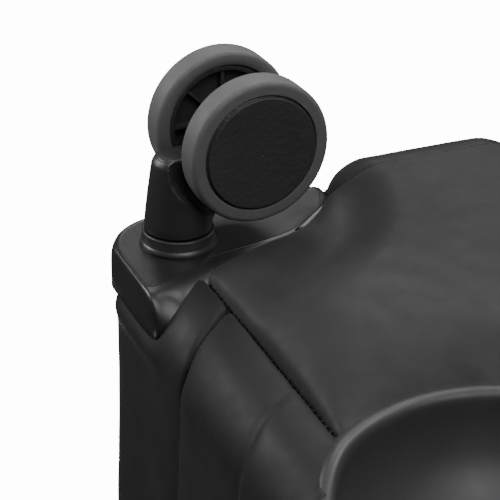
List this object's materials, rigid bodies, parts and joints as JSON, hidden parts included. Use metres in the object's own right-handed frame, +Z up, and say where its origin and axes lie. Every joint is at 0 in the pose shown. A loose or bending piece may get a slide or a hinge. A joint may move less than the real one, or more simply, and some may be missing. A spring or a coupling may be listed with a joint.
{
  "type": "tennis ball machine",
  "caption": "Bag-type tennis ball machine: soft-sided trolley case on twin-wheel swivel casters with a hopper, feeder and throwing wheels inside.",
  "frame": {"origin": "on the floor under the middle of the case", "axes": "+Z up, the launch side faces -Y, +X to the right seen from the front"},
  "size_m": [0.47, 0.29, 0.729],
  "materials": {
    "fabric": "fine black polyester twill",
    "guard": "satin moulded plastic",
    "caster": "fine-grained moulded plastic",
    "tyre": "matte grey-black rubber",
    "steel": "brushed",
    "alu": "satin anodised",
    "inner": "moulded, matte",
    "disc": "moulded, matte yellow",
    "throw": "soft tread",
    "motor": "satin black",
    "knob": "satin grey",
    "switch": "gloss red",
    "webbing": "woven webbing"
  },
  "bodies": {
    "case": {"front_panel": "fabric", "back_panel": "fabric", "left_panel": "fabric", "right_panel": "fabric", "bottom_panel": "fabric", "corner_guards": "guard", "caster_collars": "guard", "grab_cup": "guard", "base_frame": "alu", "battery": "inner", "launcher_frame": "alu", "launch_tube": "inner", "port_ring": "guard", "feed_chute": "inner", "throw_motors": "motor", "hopper": "inner", "hopper_floor": "inner", "feeder_motor": "motor", "back_glides": "guard", "control_panel": "inner", "handle_tray": "guard", "handle_sleeves": "alu"},
    "throw_upper": {"throw_wheel_upper": "throw", "throw_shaft_upper": "steel"},
    "throw_lower": {"throw_wheel_lower": "throw", "throw_shaft_lower": "steel"},
    "feeder": {"feeder_disc": "disc"},
    "speed_knob": {"speed_knob": "knob"},
    "feed_knob": {"feed_knob": "knob"},
    "power_switch": {"power_switch": "switch"},
    "lid": {"lid": "fabric", "lid_strap": "webbing"},
    "pull_handle": {"handle_tube_left": "alu", "handle_tube_right": "alu", "handle_grip": "inner"},
    "handle_button": {"handle_button": "inner"},
    "caster_fr": {"caster_fr_fork": "caster", "caster_fr_axle": "steel"},
    "caster_fr_wheel_out": {"caster_fr_tyre_out": "tyre", "caster_fr_hub_out": "caster"},
    "caster_fr_wheel_in": {"caster_fr_tyre_in": "tyre", "caster_fr_hub_in": "caster"},
    "caster_fl": {"caster_fl_fork": "caster", "caster_fl_axle": "steel"},
    "caster_fl_wheel_out": {"caster_fl_tyre_out": "tyre", "caster_fl_hub_out": "caster"},
    "caster_fl_wheel_in": {"caster_fl_tyre_in": "tyre", "caster_fl_hub_in": "caster"},
    "caster_rr": {"caster_rr_fork": "caster", "caster_rr_axle": "steel"},
    "caster_rr_wheel_out": {"caster_rr_tyre_out": "tyre", "caster_rr_hub_out": "caster"},
    "caster_rr_wheel_in": {"caster_rr_tyre_in": "tyre", "caster_rr_hub_in": "caster"},
    "caster_rl": {"caster_rl_fork": "caster", "caster_rl_axle": "steel"},
    "caster_rl_wheel_out": {"caster_rl_tyre_out": "tyre", "caster_rl_hub_out": "caster"},
    "caster_rl_wheel_in": {"caster_rl_tyre_in": "tyre", "caster_rl_hub_in": "caster"}
  },
  "joints": [
    {"name": "caster_fr_swivel", "type": "hinge", "parent": "case", "child": "caster_fr", "pos_m": [0.207, -0.117, 0.0742], "axis": [0, 0, 1], "continuous": true},
    {"name": "caster_fr_spin_out", "type": "hinge", "parent": "caster_fr", "child": "caster_fr_wheel_out", "pos_m": [0.20846, -0.09094, 0.03], "axis": [0.9984, -0.0558, 0], "continuous": true},
    {"name": "caster_fr_spin_in", "type": "hinge", "parent": "caster_fr", "child": "caster_fr_wheel_in", "pos_m": [0.20846, -0.09094, 0.03], "axis": [0.9984, -0.0558, 0], "continuous": true},
    {"name": "caster_fl_swivel", "type": "hinge", "parent": "case", "child": "caster_fl", "pos_m": [-0.207, -0.117, 0.0742], "axis": [0, 0, 1], "continuous": true},
    {"name": "caster_fl_spin_out", "type": "hinge", "parent": "caster_fl", "child": "caster_fl_wheel_out", "pos_m": [-0.20846, -0.09094, 0.03], "axis": [-0.9984, -0.0558, 0], "continuous": true},
    {"name": "caster_fl_spin_in", "type": "hinge", "parent": "caster_fl", "child": "caster_fl_wheel_in", "pos_m": [-0.20846, -0.09094, 0.03], "axis": [-0.9984, -0.0558, 0], "continuous": true},
    {"name": "caster_rr_swivel", "type": "hinge", "parent": "case", "child": "caster_rr", "pos_m": [0.207, 0.117, 0.0742], "axis": [0, 0, 1], "continuous": true},
    {"name": "caster_rr_spin_out", "type": "hinge", "parent": "caster_rr", "child": "caster_rr_wheel_out", "pos_m": [0.20846, 0.09094, 0.03], "axis": [0.9984, 0.0558, 0], "continuous": true},
    {"name": "caster_rr_spin_in", "type": "hinge", "parent": "caster_rr", "child": "caster_rr_wheel_in", "pos_m": [0.20846, 0.09094, 0.03], "axis": [0.9984, 0.0558, 0], "continuous": true},
    {"name": "caster_rl_swivel", "type": "hinge", "parent": "case", "child": "caster_rl", "pos_m": [-0.207, 0.117, 0.0742], "axis": [0, 0, 1], "continuous": true},
    {"name": "caster_rl_spin_out", "type": "hinge", "parent": "caster_rl", "child": "caster_rl_wheel_out", "pos_m": [-0.20846, 0.09094, 0.03], "axis": [-0.9984, 0.0558, 0], "continuous": true},
    {"name": "caster_rl_spin_in", "type": "hinge", "parent": "caster_rl", "child": "caster_rl_wheel_in", "pos_m": [-0.20846, 0.09094, 0.03], "axis": [-0.9984, 0.0558, 0], "continuous": true},
    {"name": "throw_upper_spin", "type": "hinge", "parent": "case", "child": "throw_upper", "pos_m": [0, -0.036, 0.423], "axis": [1, 0, 0], "continuous": true},
    {"name": "throw_lower_spin", "type": "hinge", "parent": "case", "child": "throw_lower", "pos_m": [0, -0.036, 0.257], "axis": [1, 0, 0], "continuous": true},
    {"name": "feeder_turn", "type": "hinge", "parent": "case", "child": "feeder", "pos_m": [0, 0, 0.55], "axis": [0, 0, 1], "continuous": true},
    {"name": "speed_knob_turn", "type": "hinge", "parent": "case", "child": "speed_knob", "pos_m": [0.21, -0.022, 0.472], "axis": [1, 0, 0], "range_deg": [0, 270]},
    {"name": "feed_knob_turn", "type": "hinge", "parent": "case", "child": "feed_knob", "pos_m": [0.21, 0.022, 0.472], "axis": [1, 0, 0], "range_deg": [0, 270]},
    {"name": "power_switch_rock", "type": "hinge", "parent": "case", "child": "power_switch", "pos_m": [0.21, -0.022, 0.426], "axis": [0, 1, 0], "range_deg": [-6, 6]},
    {"name": "lid_open", "type": "hinge", "parent": "case", "child": "lid", "pos_m": [0, 0.099, 0.699], "axis": [-1, 0, 0], "range_deg": [0, 90]},
    {"name": "pull_handle_slide", "type": "slide", "parent": "case", "child": "pull_handle", "axis": [0, 0, 1], "range_m": [0, 0.36]},
    {"name": "handle_button_press", "type": "slide", "parent": "pull_handle", "child": "handle_button", "axis": [0, 0, -1], "range_m": [0, 0.003], "stiffness_N_per_m": 300}
  ],
  "couplings": [
    {"joint": "throw_lower_spin", "follows": "throw_upper_spin", "ratio": -1}
  ]
}
